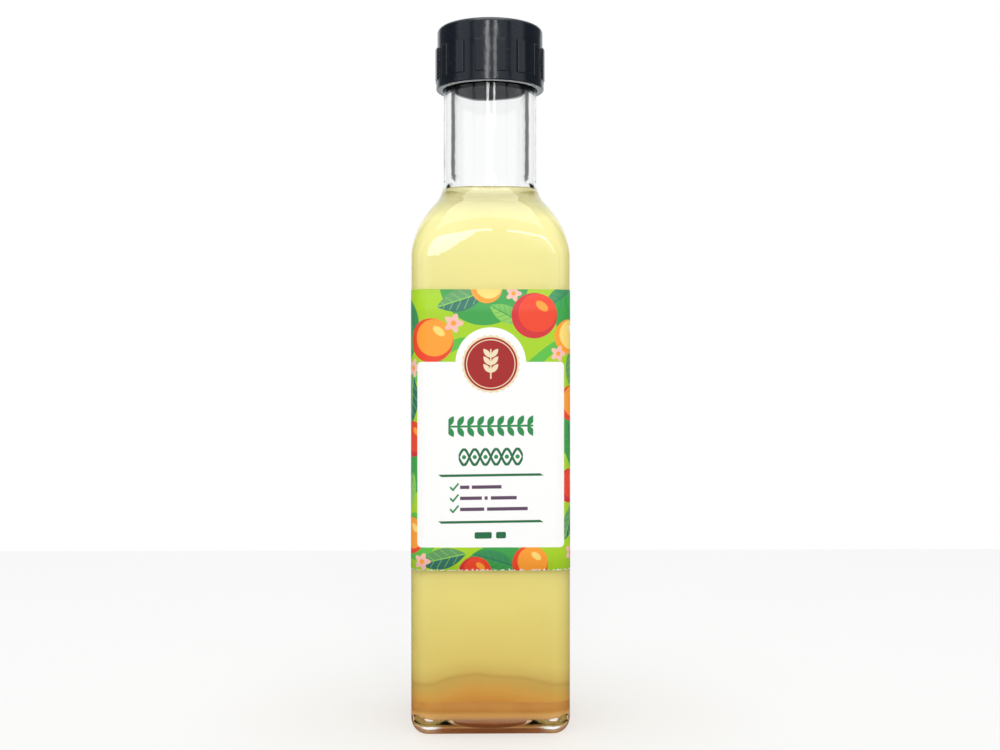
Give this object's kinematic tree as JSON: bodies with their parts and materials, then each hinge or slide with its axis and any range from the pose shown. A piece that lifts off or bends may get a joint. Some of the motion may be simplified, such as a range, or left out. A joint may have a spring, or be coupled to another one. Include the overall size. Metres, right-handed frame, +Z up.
{
  "type": "vinegar bottle",
  "caption": "Tall square clear glass bottle of cloudy pale vinegar with a black ribbed screw cap, a paper wrap label and settled sediment.",
  "frame": {"origin": "centre of the bottle's foot, on the surface it stands on", "axes": "+Z up the bottle's axis, -Y out of the front of the label, +X to the right of it"},
  "size_m": [0.0468, 0.0468, 0.211],
  "materials": {
    "clear_glass": "clear pressed glass",
    "black_plastic": "moulded black, glossy",
    "printed_paper": "smooth coated paper, printed",
    "cloudy_vinegar": "cloudy pale yellow liquid",
    "brown_sediment": "cloudy amber brown liquid"
  },
  "bodies": {
    "root": {"glass_bottle": "clear_glass", "screw_cap": "black_plastic", "label": "printed_paper", "vinegar": "cloudy_vinegar", "sediment": "brown_sediment"}
  },
  "joints": []
}
